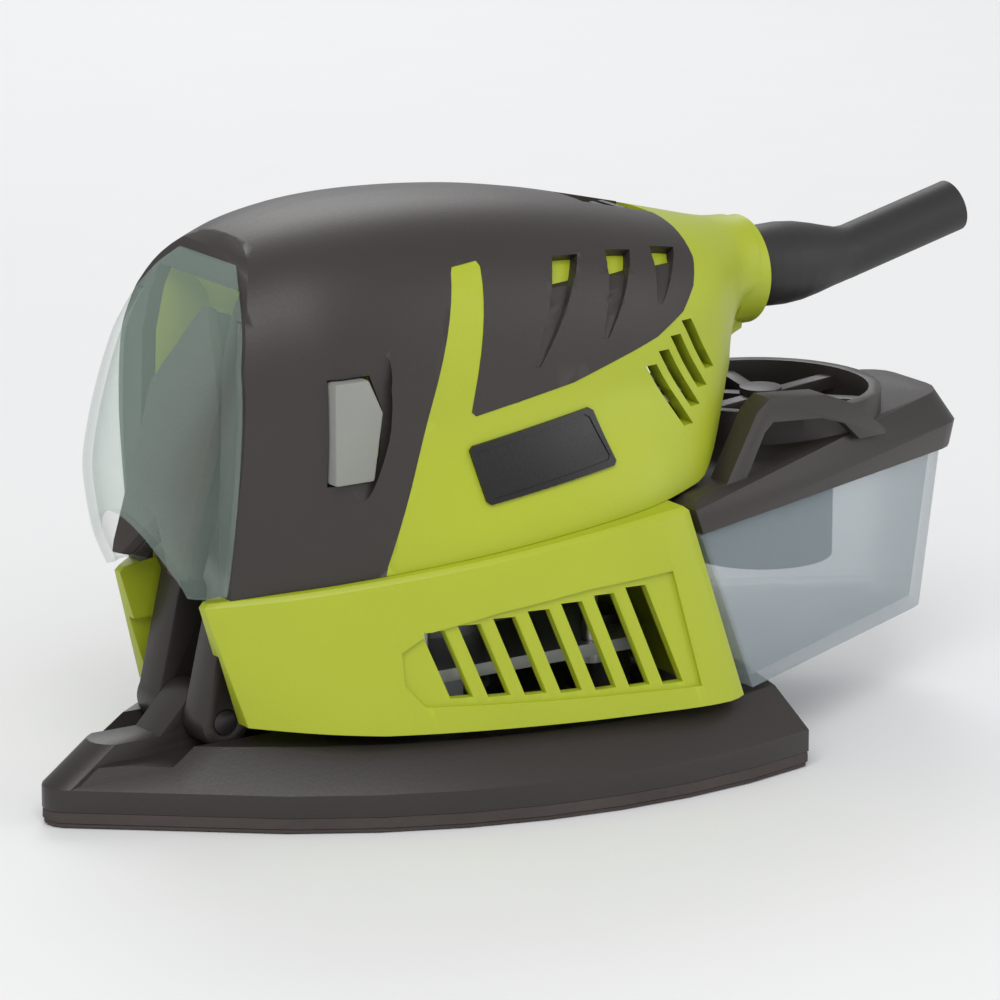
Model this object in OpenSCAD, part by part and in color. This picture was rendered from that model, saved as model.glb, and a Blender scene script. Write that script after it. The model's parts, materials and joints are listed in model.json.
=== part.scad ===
// Detail mouse sander: iron-shaped orbital pad, upright motor in a two-colour
// clamshell body, fold-down finger sander under a clear cover, clear dust box.
// The origin is on the motor axis at the sanding face. The nose points to -X.

/* [Pad] */
// Distance from the motor axis to the nose of the pad
pad_nose = 85; // [84:0.5:86]
// Distance from the motor axis to the middle of the pad's rear edge
pad_rear = 66; // [65:0.5:67]
// Half of the pad's greatest width
pad_half = 53.2; // [52.5:0.1:54]
// Radius of the pad's long side curves
pad_side_r = 133; // [131:1:135]
// Thickness of the hook-and-loop face
hook_t = 0.8; // [0.6:0.1:1]
// Height of the top of the foam layer
foam_top = 3.1; // [2.9:0.1:3.3]
// Height of the pad plate's vertical rim
rim_top = 7.5; // [7:0.1:8]
// Height of the pad plate's flat deck
deck_top = 15; // [14.8:0.1:15.2]
// Width of the sloping shoulder between rim and deck
shoulder = 9; // [8:0.5:10]

/* [Motor] */
// Orbit radius of the eccentric stub
orbit = 1; // [0.6:0.1:1]
// Radius of the motor shaft
shaft_r = 4; // [3.9:0.05:4]
// Radial running clearance of shafts and pins
running = 0.04; // [0.02:0.01:0.08]
// Radius of the armature
armature_r = 15; // [14.5:0.1:15.1]
// Radius of the field core
field_r = 25; // [24.5:0.1:25.2]
// Radius of the fan
fan_r = 29; // [27:0.5:30]
// Number of fan blades
fan_blades = 9; // [7:1:11]

/* [Finger sander] */
// Distance from the motor axis forward to the hinge pin
pin_back = 52.2; // [52:0.1:52.4]
// Height of the hinge pin above the sanding face
pin_z = 18.2; // [18.1:0.1:18.4]
// Radius of the hinge pin
pin_r = 2.5; // [2.3:0.1:2.6]
// Angle that the finger folds through, from stored to flat
fold = 106; // [105:1:107]
// Half width of the finger plate and arm
finger_half = 13; // [12.6:0.1:13.1]
// Half width of the slot between the arm's cheeks
slot_half = 4.9; // [4.8:0.1:5]

/* [Body] */
// Thickness of the soft overmould
grip_t = 2; // [1.8:0.1:2.2]
// Thickness of the hard shell under it
shell_t = 2.5; // [2.3:0.1:2.7]
// Half width of the channel that stores the finger
channel_half = 15.2; // [15:0.1:15.4]
// Thickness of the lower skirt's wall
skirt_t = 2.6; // [2.4:0.1:2.8]
// Number of exhaust slots on each side of the skirt
slots = 7; // [5:1:7]

/* [Dust box] */
// Wall of the clear bin
bin_t = 2; // [1.8:0.1:2.2]
// Distance from the motor axis to the middle of the filter opening
filter_x = 82; // [81.5:0.5:82.5]
// Radius of the filter opening
filter_r = 22; // [21:0.5:22.5]
// Number of spokes over the filter opening
spokes = 6; // [4:1:8]

/* [Cord guard] */
// Radius of the hole for the mains lead
lead_r = 3.6; // [3.4:0.1:3.8]
// Upward tilt of the guard's rear tube
guard_tilt = 14; // [12:1:15]

/* [Hidden] */
$fn = 48;
green = "#b8cc2b";
charcoal = "#3f3a37";
steel = "#9a9da1";
pin_x = -pin_back;
stub_r = 5;
collar_z = 89.8;
motor_z = 57;
core_h = 24;
pad_boss_h = 5.5;
bearing_r = 11;
leg_places = [[-24, -13], [-24, 13], [30, -20], [30, 20]];
boss_places = [[-18, -29], [-18, 29], [20, -30.5], [20, 30.5]];
leg_r = 5.5;
duct_z = 38;

// Body section by station along X: [x, bottom half width, grip half width, top height]
body_wb = [[-57, 18.5], [-47, 23.5], [-37, 28.5], [-24, 33.5], [-8, 38], [11, 40.5], [27, 40.5],
           [36, 38], [46, 33], [55, 25], [63, 16], [69, 7], [74, 4.5]];
body_wg = [[-57, 23], [-47, 26.5], [-37, 30], [-24, 31.8], [-8, 32.3], [11, 32.3], [27, 31.4],
           [36, 30.3], [46, 27.5], [55, 23.5], [63, 17.5], [69, 12.5], [74, 11.2]];
body_top = [[-57, 105], [-47, 109.8], [-37, 113], [-24, 115], [-8, 115.3], [11, 113.8], [27, 111.2],
            [36, 109.2], [46, 106.8], [55, 104.6], [63, 102.6], [69, 101.3], [74, 101]];
body_low = [[-57, 44.1], [30, 56], [44, 57.8], [48, 61], [58, 73.6], [69, 77.6], [74, 78.6]];
body_mid = [[-57, 78], [36, 80], [55, 87], [69, collar_z], [74, collar_z]];
stations = [-57, -47, -37, -24, -8, 11, 30, 44, 48, 58, 63, 69, 74];

// Skirt half widths along X at its bottom and top edges
skirt_low = [[-57, 15], [-52, 21], [-39, 31], [-21, 38.6], [0, 44], [20, 47], [41, 48], [50, 43]];
skirt_high = [[-59.3, 17.3], [-45, 27], [-27, 35], [-10, 40.5], [10, 44], [30, 45.5], [33, 45.5]];
skirt_front = [-52, -59.3];
skirt_back = [46.5, 33];
skirt_low_z = [[-57, 19.5], [-30, 17.5], [50, 16]];
skirt_high_z = [[-59.3, 43.7], [33, 56.3]];

// Clear cover by height: [z, front x, side x, half width]
cover_levels = [[45, -64.5, -55.4, 19.2], [52, -67.5, -55.2, 20.8], [60, -69, -54.9, 22], [66, -69.2, -54.7, 22.8],
    [74, -67, -54.4, 23.4], [82, -63.6, -54.1, 23.6], [90, -59.4, -53.8, 22.6], [97, -55.2, -51.9, 20],
    [103, -51, -50, 15.5], [107, -48.6, -47.5, 10.5]];

// Closed solid through rings that have the same number of points, counter-clockwise
// as seen from the end towards which the rings advance
module loft(rings) {
    n = len(rings[0]);
    m = len(rings);
    polyhedron(
        points = [for (ring = rings) for (point = ring) point],
        faces = concat(
            [[for (j = [0:n - 1]) j]],
            [for (i = [0:m - 2]) for (j = [0:n - 1]) [i * n + j, (i + 1) * n + j, (i + 1) * n + (j + 1) % n]],
            [for (i = [0:m - 2]) for (j = [0:n - 1]) [i * n + j, (i + 1) * n + (j + 1) % n, i * n + (j + 1) % n]],
            [[for (j = [n - 1:-1:0]) (m - 1) * n + j]]));
}

// Joins a free-form shell's surfaces into one faceted skin
module moulded() resize([0, 0, 0]) children();

// Extrudes a side-view outline, given as [x, z] points, between two y values
module side_prism(outline, y0, y1)
    translate([0, y1, 0]) rotate([90, 0, 0]) linear_extrude(y1 - y0) polygon(outline);

// Tube or ring standing on the XY plane
module ring(outer, inner, h) difference() {
    cylinder(r = outer, h = h);
    translate([0, 0, -1]) cylinder(r = inner, h = h + 2);
}

// Mirrors a point list about the X axis, in reverse order
function mirrored(points) = [for (i = [len(points) - 1:-1:0]) [points[i][0], -points[i][1]]];

// Iron outline of the pad: blunt nose, straight nose flanks, long side arcs, slightly bowed rear
function iron(nose, rear, half) = let (
        r = 5, bow = 6, flank_x = nose + 20, end_x = rear - bow,
        tip = [for (a = [0:22.5:45]) [nose + r * (1 - cos(a)), -r * sin(a)]],
        side = [for (i = [0:8]) let (x = flank_x + (end_x - flank_x) * i / 8)
            [x, -(half - pad_side_r + sqrt(pow(pad_side_r, 2) - pow(x - 25, 2)))]],
        last = side[8][1],
        back = [for (k = [0.6, 0.25]) [rear - bow * k * k, last * k]],
        lower = concat(tip, side, back))
    concat(lower, [for (i = [len(lower) - 1:-1:1]) [lower[i][0], -lower[i][1]]]);
function at_z(points, z) = [for (p = points) [p[0], p[1], z]];

// ---------------------------------------------------------------- pad
module pad_plate() color(charcoal) {
    rim = iron(-pad_nose, pad_rear, pad_half);
    deck = iron(shoulder + 1 - pad_nose, pad_rear - 2.4, pad_half - shoulder);
    difference() {
        union() {
            loft([at_z(rim, foam_top), at_z(rim, rim_top), at_z(deck, deck_top)]);
            knuckle();
        }
        // pocket that the folding arm's cheeks swing through
        for (s = [-1, 1]) scale([1, s, 1])
            side_prism([[pin_x - 32, 6.6], [pin_x - 28, 8.2], [pin_x - 24, 11.2], [pin_x - 20, 11.6],
                [pin_x + 10, 11.6], [pin_x + 10, 32], [pin_x - 32, 32]], slot_half - 0.2, finger_half + 0.8);
        translate([orbit, 0, pad_boss_h]) cylinder(r = 13, h = 20);
        translate([orbit, 0, 0]) cylinder(r = 8, h = 20);
        for (p = leg_places) translate([p[0] + orbit, p[1], 10]) cylinder(r = leg_r + 2.6, h = 20);
        translate([pin_x, 20, pin_z]) rotate([90, 0, 0]) cylinder(r = pin_r, h = 40);
        // weight-saving wells behind the bearing
        for (s = [-1, 1]) scale([1, s, 1]) translate([-8, 17, 7]) cube([28, 22, 20]);
    }
}
module knuckle() {
    side_prism([[-72, 8], [-71, 12], [pin_x - 10, 15], [pin_x - 4.5, pin_z + 2.6], [pin_x + 5, pin_z],
        [pin_x + 8, 12], [pin_x + 8, 8]], -slot_half + 0.2, slot_half - 0.2);
    translate([pin_x, slot_half - 0.2, pin_z]) rotate([90, 0, 0]) cylinder(r = 5.2, h = 2 * slot_half - 0.4);
}
module pad_foam() color("#5f5652")
    translate([0, 0, hook_t]) linear_extrude(foam_top - hook_t) polygon(iron(-pad_nose, pad_rear, pad_half));
module hook_face() color("#4a4543")
    linear_extrude(hook_t) polygon(iron(0.4 - pad_nose, pad_rear - 0.4, pad_half - 0.4));
module pad_bearing() color(steel)
    translate([orbit, 0, pad_boss_h]) ring(13, stub_r + running, 8);
module hinge_pin() color(steel)
    translate([pin_x, finger_half - 0.3, pin_z]) rotate([90, 0, 0]) cylinder(r = pin_r, h = 2 * finger_half - 0.6);

// ---------------------------------------------------------------- finger sander
// Drawn flat on the sanding face with the pin above its foot, then turned up to its stored place.
module stored() translate([pin_x, 0, pin_z]) rotate([0, fold, 0]) translate([0, 0, -pin_z]) children();
module plate_outline(inset = 0, notch = 0) polygon([
    [-35.5 - notch, 0], [-26.2 - notch, -9 - notch / 2], [-25.8 - inset, 0.4 - finger_half + inset],
    [-28, inset - finger_half], [-60, inset - finger_half], [-77 + inset, -1], [-77 + inset, 1],
    [-60, finger_half - inset], [-28, finger_half - inset], [-25.8 - inset, finger_half - 0.4 - inset],
    [-26.2 - notch, 9 + notch / 2]]);
module finger_foam() color("#5f5652") stored() linear_extrude(2.6) plate_outline();
module finger_plate() color(charcoal) stored() translate([0, 0, 2.6]) linear_extrude(3.4) plate_outline(0.6);
module finger_arm() color(charcoal) stored() difference() {
    union() {
        side_prism([[-24, 12], [0, 13.2], [1, 23], [-4, 23.4], [-20, 24], [-34, 22], [-46, 15], [-66, 10.5],
            [-70, 6], [-35.6, 6], [-28, 8.8]], -finger_half, finger_half);
        translate([0, finger_half, pin_z]) rotate([90, 0, 0]) cylinder(r = 5.2, h = 2 * finger_half);
    }
    // slot between the cheeks, open towards the pad
    translate([-33.2, -slot_half, -10]) cube([54.2, 2 * slot_half, 60]);
    // outer faces narrow towards the plate's tip
    for (s = [-1, 1]) scale([1, s, 1]) rotate([0, 0, -30])
        translate([-80, 39.5, -10]) cube([60, 30, 60]);
    translate([0, 20, pin_z]) rotate([90, 0, 0]) cylinder(r = pin_r + running, h = 40);
}

// ---------------------------------------------------------------- body
// Ring of the body's section at x, drawn in by an inset; it flares down to the skirt and
// closes over the top as a rounded arch
function body_ring(x, inset) = let (
        low = lookup(x, body_low), mid = lookup(x, body_mid), top = lookup(x, body_top) - inset,
        wide = lookup(x, body_wb) - inset, grip = lookup(x, body_wg) - inset, n = 2.5,
        flank = [for (k = [0:2]) let (t = k / 3, s = t * t * (3 - 2 * t))
            [wide + (grip - wide) * s, low + (mid - low) * t]],
        arch = [for (a = [0:18:72]) [grip * pow(cos(a), 2 / n), mid + (top - mid) * pow(sin(a), 2 / n)]],
        half = concat(flank, arch))
    concat([for (p = half) [x, max(p[0], 0.5), p[1]]], [[x, 0, top]],
        [for (i = [len(half) - 1:-1:0]) [x, -max(half[i][0], 0.5), half[i][1]]]);
module body_skin(inset, from = -60, to = 80)
    loft([for (x = stations) if (x >= from && x <= to) body_ring(x, inset)]);
// everything behind the leaning front edge of the hood
module behind_front() side_prism([[-55, 30], [-53.4, 90], [-49, 104], [-43, 112], [-40, 130], [90, 130], [90, 30]],
    -60, 60);
// region of the soft overmould in side view: hood, band edge, grip and its rear curve
overmould = [[-70, 30], [-31, 30], [-27.5, 50], [-9.5, 104], [-2.5, 105], [-8.5, 77], [15, 80.5], [36, 86.5],
    [46, 92.5], [50, 98.5], [50.5, 130], [-70, 130]];
module overmould_layer() intersection() {
    difference() {
        body_skin(0);
        body_skin(grip_t);
    }
    side_prism(overmould, -60, 60);
    behind_front();
}
module channel() {
    side_prism([[-80, 10], [-35, 10], [-35, 84], [-39, 96], [-44, 103], [-80, 103]], -channel_half, channel_half);
    for (s = [-1, 1]) scale([1, s, 1]) translate([-58, 17.2, 73.9]) cube([18, 3.2, 6.2]);
}
button_outline = [[-38.5, 66.8], [-29.8, 66.8], [-27.8, 80], [-31, 86.8], [-38.5, 86.8]];
module button_pocket(side) scale([1, side, 1])
    translate([0, 60, 0]) rotate([90, 0, 0]) linear_extrude(42.5) offset(delta = 0.35) polygon(button_outline);
module upper_vents(side) for (k = [0:3]) scale([1, side, 1])
    translate([40.2 + 3 * k, 8, 68.7 + 3.05 * k]) rotate([0, -31, 0]) cube([2.4, 50, 14 - 0.7 * k]);
module grip_grooves(side) for (k = [0:2]) scale([1, side, 1])
    translate([14 + 13 * k, 20, 93]) rotate([-33, 8, 0]) cube([3.4, 10, 9]);
// cross bosses that hold the two halves together: [x, z]
screw_places = [[-30, 105], [28, 97], [50, 69], [38, 62]];
module bosses(r, h = 120) for (p = screw_places)
    translate([p[0], 60, p[1]]) rotate([90, 0, 0]) cylinder(r = r, h = h, $fn = 20);
module switch_recess() translate([34, -6.2, 102]) cube([20, 12.4, 12]);
module housing(side) color(green) moulded() difference() {
    intersection() {
        union() {
            difference() {
                union() {
                    body_skin(0);
                    collar();
                }
                body_cavity();
            }
            intersection() {
                body_skin(grip_t + 0.5);
                bosses(3.4);
            }
        }
        behind_front();
        translate([-100, side < 0 ? -60 : 0, 0]) cube([200, 60, 150]);
    }
    intersection() {
        side_prism(overmould, -60, 60);
        difference() {
            translate([-70, -60, 0]) cube([200, 120, 150]);
            body_skin(grip_t);
        }
    }
    channel();
    button_pocket(side);
    upper_vents(side);
    bosses(1.6, 69);
    switch_recess();
    translate([55, 0, collar_z]) rotate([0, 90, 0]) cylinder(r = 7, h = 30);
}
module collar() translate([70, 0, collar_z]) rotate([0, 90, 0]) cylinder(r = 11, h = 6.5);
// inside of the body behind the finger channel
module body_cavity() intersection() {
    body_skin(grip_t + shell_t);
    translate([-32.3, -60, 0]) cube([100, 120, 150]);
}
module grip(side) color(charcoal) moulded() difference() {
    intersection() {
        overmould_layer();
        translate([-100, side < 0 ? -60 : 0, 0]) cube([200, 60, 150]);
    }
    channel();
    button_pocket(side);
    grip_grooves(side);
    switch_recess();
}
module housing_left() housing(-1);
module housing_right() housing(1);
module grip_left() grip(-1);
module grip_right() grip(1);

// ---------------------------------------------------------------- skirt
function skirt_ring(front, back, widths, heights, inset, dz) = let (
        lower = [for (i = [0:8]) let (x = front + (back - front) * i / 8, w = lookup(x, widths) - inset)
            [x, -w, lookup(x, heights) + dz]])
    concat(lower, [for (i = [8:-1:0]) [lower[i][0], -lower[i][1], lower[i][2]]]);
module skirt_solid(inset, dz0, dz1) loft([
    skirt_ring(skirt_front[0] + inset, skirt_back[0] - inset, skirt_low, skirt_low_z, inset, dz0),
    skirt_ring(skirt_front[1] + inset, skirt_back[1] - inset, skirt_high, skirt_high_z, inset, dz1)]);
module skirt() color(green) moulded() difference() {
    union() {
        difference() {
            skirt_solid(0, 0, 0);
            intersection() {
                skirt_solid(skirt_t, -0.2, -skirt_t);
                translate([-32.3, -60, 0]) cube([100, 120, 100]);
            }
        }
        for (p = boss_places) translate([p[0], p[1], 28]) cylinder(r = 4, h = p[0] > 0 ? 25 : 19.5, $fn = 20);
    }
    translate([0, 0, 30]) cylinder(r = 33, h = 60);
    channel();
    // the front is open below, where the pad's knuckle and the arm stand
    translate([-80, -channel_half - 2, 0]) cube([44, 2 * channel_half + 4, 33]);
    for (s = [-1, 1]) for (k = [0:slots - 1]) scale([1, s, 1])
        translate([-20 + 7.3 * k, 30, 24.3 - 0.4 * k]) rotate([0, -21, 0]) cube([3.9, 30, 13.5 + 0.9 * k]);
    for (p = boss_places) translate([p[0], p[1], 20]) cylinder(r = 1.6, h = 22, $fn = 20);
    translate([33, 0, duct_z]) rotate([0, 90, 0]) cylinder(r = 9, h = 40);
}
module badge(side) color("#2e2b2a") moulded() intersection() {
    difference() {
        body_skin(-0.6);
        body_skin(0);
    }
    side_prism([[-8, 60.5], [-10, 71.2], [18.5, 75.4], [21, 64.7]], side < 0 ? -60 : 10, side < 0 ? -10 : 60);
}
module badge_left() badge(-1);
module badge_right() badge(1);

// ---------------------------------------------------------------- clear cover
function cover_ring(level, inset, back) = let (
        z = level[0], f = level[1] + inset, s = level[2] + back, w = level[3] - inset, d = s - back - f,
        half = [[s, -w], [f + d * 0.55, -w * 0.93], [f + d * 0.2, -w * 0.76], [f, -w * 0.48]])
    [for (p = [half[3], half[2], half[1], half[0]]) [p[0], p[1], z]];
function cover_loop(level, inset, back) = let (q = cover_ring(level, inset, back))
    concat(q, [for (i = [3:-1:0]) [q[i][0], -q[i][1], q[i][2]]]);
module front_cover() color([0.75, 0.9, 0.85, 0.5]) moulded() {
    difference() {
        loft([for (l = cover_levels) cover_loop(l, 0, 0)]);
        loft([for (l = cover_levels) if (l[0] < 103) cover_loop([l[0] == 45 ? 44 : l[0], l[1], l[2], l[3]], 1.8, 9)]);
        translate([-80, 0, 44]) rotate([0, 90, 0]) cylinder(r = 15.6, h = 20);
    }
    for (s = [-1, 1]) scale([1, s, 1]) difference() {
        union() {
            translate([-60, 17.6, 74.4]) cube([18, 2.4, 5.2]);
            translate([-60, 17.6, 74.4]) cube([4.6, 5, 5.2]);
        }
        translate([-46, 18.8, 74]) cube([2.4, 2.4, 6]);
    }
}

// ---------------------------------------------------------------- buttons and switch
module button(side) color("#8f9189") scale([1, side, 1]) difference() {
    translate([0, 31.6, 0]) rotate([90, 0, 0]) linear_extrude(9.4) polygon(button_outline);
    // blind bore that slides over the spring
    translate([-33.5, 27.2, 77]) rotate([90, 0, 0]) cylinder(r = 3.2, h = 6);
}
module button_left() button(-1);
module button_right() button(1);
module button_spring(side) color(steel) scale([1, side, 1])
    translate([-33.5, 24.2, 77]) rotate([90, 0, 0]) ring(3, 2.2, 6.7);
module button_spring_left() button_spring(-1);
module button_spring_right() button_spring(1);
module power_slider() color("#2a2726") {
    translate([36.5, -5.7, 102.5]) cube([11, 11.4, 2.6]);
    for (k = [0:3]) translate([38.2 + 2.2 * k, -4.5, 105]) cube([1.2, 9, 1.6]);
}
module switch_body() color("#3c3c40") translate([33, -8, 84]) cube([22, 16, 14]);
module capacitor() color("#d8b23a") translate([33, -7, 68]) cube([10, 14, 12]);

// ---------------------------------------------------------------- motor
module shaft() color(steel) cylinder(r = shaft_r, h = 78.5);
module placed_shaft() translate([0, 0, 24.5]) shaft();
module armature_core() color(steel) translate([0, 0, motor_z]) difference() {
    cylinder(r = armature_r, h = core_h);
    translate([0, 0, -1]) cylinder(r = shaft_r + running, h = core_h + 2);
    for (k = [0:11]) rotate(30 * k) translate([armature_r - 3, -0.6, -1]) cube([6, 1.2, core_h + 2]);
}
module armature_windings() color("#b4622d") for (z = [motor_z - 6, motor_z + core_h])
    translate([0, 0, z]) ring(12.5, shaft_r + running, 6);
module commutator() color("#b87a3c") translate([0, 0, 88]) difference() {
    ring(8, shaft_r + running, 8);
    for (k = [0:11]) rotate(30 * k) translate([7, -0.3, -1]) cube([3, 0.6, 10]);
}
module fan() color("#57534f") translate([0, 0, 34.5]) difference() {
    union() {
        cylinder(r = fan_r, h = 1.6);
        cylinder(r = 8, h = 9);
        for (k = [0:fan_blades - 1]) rotate(360 / fan_blades * k) translate([10, -0.8, 1])
            rotate(18) cube([fan_r - 11.5, 1.6, 8]);
    }
    translate([0, 0, -1]) cylinder(r = shaft_r + running, h = 12);
}
module counterweight() color("#7d7f83") difference() {
    union() {
        translate([0, 0, 16]) cylinder(r = 10, h = 8.5);
        translate([0, 0, 16]) intersection() {
            cylinder(r = 19, h = 7);
            translate([-30, -30, 0]) cube([28, 60, 10]);
        }
        translate([0, 0, 24]) cylinder(r = 6, h = 1.4);
        translate([orbit, 0, pad_boss_h]) cylinder(r = stub_r, h = 11);
    }
    translate([0, 0, 24.5]) cylinder(r = shaft_r + running, h = 10);
    translate([orbit, 0, 0]) cylinder(r = 2 + running, h = 15);
}
module eccentric_screw() color(steel) translate([orbit, 0, 0]) {
    translate([0, 0, 3.4]) cylinder(r = 6.2, h = 2.1);
    translate([0, 0, 5]) cylinder(r = 2, h = 9.5);
}
module field_core() color(steel) translate([0, 0, motor_z]) difference() {
    intersection() {
        cylinder(r = field_r, h = core_h);
        translate([-23, -30, -1]) cube([46, 60, core_h + 2]);
    }
    translate([0, 0, -1]) cylinder(r = armature_r + 0.6, h = core_h + 2);
    for (s = [-1, 1]) translate([s * 17, 0, core_h / 2]) cube([8, 20, core_h + 2], center = true);
}
module field_coils() color("#b4622d") for (s = [-1, 1]) translate([s * 18.6, 0, motor_z + core_h / 2])
    cube([4.6, 19.6, core_h + 8], center = true);
module bearing_bracket() color("#8d9094") translate([0, 0, 96.5]) difference() {
    union() {
        cylinder(r = bearing_r + 2.5, h = 8);
        translate([-3, -22.4, 0]) cube([6, 44.8, 3]);
        for (s = [-1, 1]) translate([-3, s > 0 ? 17.4 : -22.4, -15.5]) cube([6, 5, 17]);
    }
    translate([0, 0, 0.5]) cylinder(r = bearing_r + running, h = 10);
    translate([0, 0, -1]) cylinder(r = shaft_r + 2, h = 3);
}
module upper_bearing() color(steel) translate([0, 0, 97]) ring(bearing_r, shaft_r + running, 7);
module lower_bearing() color(steel) translate([0, 0, 26.5]) ring(bearing_r, shaft_r + running, 7);
module bearing_plate() color("#8d9094") difference() {
    union() {
        translate([0, 0, 25.5]) cylinder(r = 15, h = 8);
        translate([0, 0, 25.5]) intersection() {
            cylinder(r = 44, h = 2.5);
            linear_extrude(3) polygon([[-31, -20], [-20, -33.4], [36, -33.4], [36, 33.4], [-20, 33.4], [-31, 20]]);
        }
    }
    translate([0, 0, 26.5]) cylinder(r = bearing_r, h = 10);
    translate([0, 0, 20]) cylinder(r = 6.5, h = 10);
    for (p = boss_places) translate([p[0], p[1], 20]) cylinder(r = 1.8, h = 20);
    for (p = leg_places) translate([p[0], p[1], 20]) cylinder(r = 3.1, h = 20);
}
module fan_shroud() color("#57534f") translate([0, 0, 44.4]) difference() {
    ring(32.6, 17, 1.6);
    for (p = boss_places) translate([p[0], p[1], -1]) cylinder(r = 4.4, h = 4);
}
module support_legs() color("#262423") for (p = leg_places) translate([p[0], p[1], 0]) {
    translate([0, 0, 10.2]) cylinder(r = leg_r, h = 15.3);
    translate([0, 0, 25.5]) cylinder(r = 3, h = 2.5);
    translate([0, 0, 28]) cylinder(r = 4.2, h = 2);
}
module brush_holders() color("#c8a04a") for (s = [-1, 1]) translate([s > 0 ? 10 : -24, -4.2, 88.2]) difference() {
    cube([14, 8.4, 7.6]);
    translate([-1, 1.2, 1.2]) cube([16, 6, 5.2]);
}
module carbon_brushes() color("#2c2c2e") for (s = [-1, 1])
    translate([s > 0 ? 8 : -17, -3, 89.4]) cube([9, 6, 5.2]);
module brush_springs() color(steel) for (s = [-1, 1])
    translate([s > 0 ? 17 : -23.5, 0, 92]) rotate([0, 90, 0]) ring(2.4, 1.7, 6.5);

// ---------------------------------------------------------------- cord exit
module cord_guard() color("#2e2c2b") translate([0, 0, collar_z]) difference() {
    union() {
        translate([64, 0, 0]) rotate([0, 90, 0]) cylinder(r = 6.9, h = 20);
        translate([77, 0, 0]) rotate([0, 90, 0]) rotate_extrude() polygon([[0, 0], [7.4, 0], [8.1, 2.5], [8.4, 6],
            [8.3, 11], [7.7, 15], [6.6, 19.5], [5.8, 23], [5.4, 25], [0, 25]]);
        translate([102, 0, 0]) sphere(r = 5.8);
        translate([102, 0, 0]) rotate([0, 90 - guard_tilt, 0]) cylinder(r = 5.4, h = 28.5);
    }
    translate([60, 0, 0]) rotate([0, 90, 0]) cylinder(r = lead_r, h = 42);
    translate([102, 0, 0]) sphere(r = lead_r + 0.5);
    translate([102, 0, 0]) rotate([0, 90 - guard_tilt, 0]) cylinder(r = lead_r, h = 44);
}
module cord_clamp() color("#57534f") translate([58.5, 0, collar_z - 8.5]) difference() {
    translate([0, -8, 0]) cube([5, 16, 5]);
    translate([-1, 0, 8.5]) rotate([0, 90, 0]) cylinder(r = 4.4, h = 8);
}

// ---------------------------------------------------------------- fasteners
module housing_screws() color(steel) for (i = [0:len(screw_places) - 1]) let (p = screw_places[i])
    translate([p[0], 12, p[1]]) rotate([90, 0, 0]) cylinder(r = 1.5, h = 20);
module plate_screws() color(steel) for (p = boss_places) translate([p[0], p[1], 0]) {
    translate([0, 0, 23.9]) cylinder(r = 3, h = 1.6);
    translate([0, 0, 25.4]) cylinder(r = 1.5, h = 14);
}

// ---------------------------------------------------------------- dust box
// Bin and lid outline: straight front, sides that taper to a narrow rear with rounded corners
function box_loop(front, rear, wide, narrow, r) = let (
        slope = atan((wide - narrow) / (rear - front)),
        near = concat([[front, -wide]],
            [for (a = [0:22.5:90]) [rear - r + r * sin(a * (90 - slope) / 90 + slope),
                -(narrow - r * 0.5) - r * cos(a * (90 - slope) / 90 + slope) + r * 0.5]]))
    concat(near, [for (i = [len(near) - 1:-1:0]) [near[i][0], -near[i][1]]]);
module bin_solid(inset, z0, z1) {
    low = box_loop(50.9 + inset - (z0 - 16) * 0.42, 118 - inset, 42 - inset, 13 - inset, 9 - inset);
    high = box_loop(36.8 + inset + (49.5 - z1) * 0.42, 121 - inset, 44 - inset, 15 - inset, 9 - inset);
    loft([at_z(low, z0), at_z(high, z1)]);
}
module dust_bin() color([0.8, 0.88, 0.92, 0.5]) difference() {
    bin_solid(0, 16, 49.5);
    bin_solid(bin_t, 16 + bin_t, 49.6);
    translate([20, 0, duct_z]) rotate([0, 90, 0]) cylinder(r = 8.4, h = 34);
}
function lid_top(points, lift) = [for (p = points) [p[0], p[1], 56.2 + (p[0] - 34) * 0.062 + lift]];
module lid_shell(inset, z0, lift) loft([
    at_z(box_loop(37 + inset, 123 - inset, 44.6 - inset, 15.6 - inset, 9 - inset), z0),
    at_z(box_loop(34.6 + inset, 124 - inset, 45.4 - inset, 16 - inset, 9 - inset), 55),
    lid_top(box_loop(37 + inset, 120 - inset, 41 - inset, 13.5 - inset, 8 - inset), lift)]);
module dust_lid() color(charcoal) moulded() difference() {
    union() {
        difference() {
            lid_shell(0, 49.8, 0);
            lid_shell(2.2, 49.6, -2.2);
        }
        translate([filter_x, 0, 55]) ring(filter_r + 2.5, filter_r, 10);
        for (k = [0:spokes - 1]) translate([filter_x, 0, 60.6]) rotate(360 / spokes * k + 15)
            translate([3, -1.5, 0]) cube([filter_r - 2, 3, 2.6]);
        translate([filter_x, 0, 60.6]) cylinder(r = 4.3, h = 4);
        for (s = [-1, 1]) scale([1, s, 1]) bridge();
    }
    translate([filter_x, 0, 40]) cylinder(r = filter_r, h = 20.6);
}
// bent handle beside the filter opening, with an opening under it
module bridge() difference() {
    intersection() {
        side_prism([[46.5, 56], [52.5, 56], [58.5, 65.2], [61, 66.8], [76, 64.8], [83, 62.4], [88, 58.2], [96, 57.8],
            [96, 58.8], [87, 65.4], [77, 69.4], [60, 71.8], [56, 69.6]], 0, 60);
        translate([42, 33.6, 0]) rotate([0, 0, -16]) cube([60, 5.5, 100]);
    }
    translate([filter_x, 0, 50]) cylinder(r = filter_r + 0.4, h = 30);
}
module lid_seal() color("#262423") difference() {
    loft([at_z(box_loop(40.2, 118.2, 41.5, 12.6, 7.2), 49.55), at_z(box_loop(40.2, 118.2, 41.5, 12.6, 7.2), 51)]);
    loft([at_z(box_loop(42.4, 116.2, 39.2, 10.8, 5.6), 49), at_z(box_loop(42.4, 116.2, 39.2, 10.8, 5.6), 52)]);
}
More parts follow.
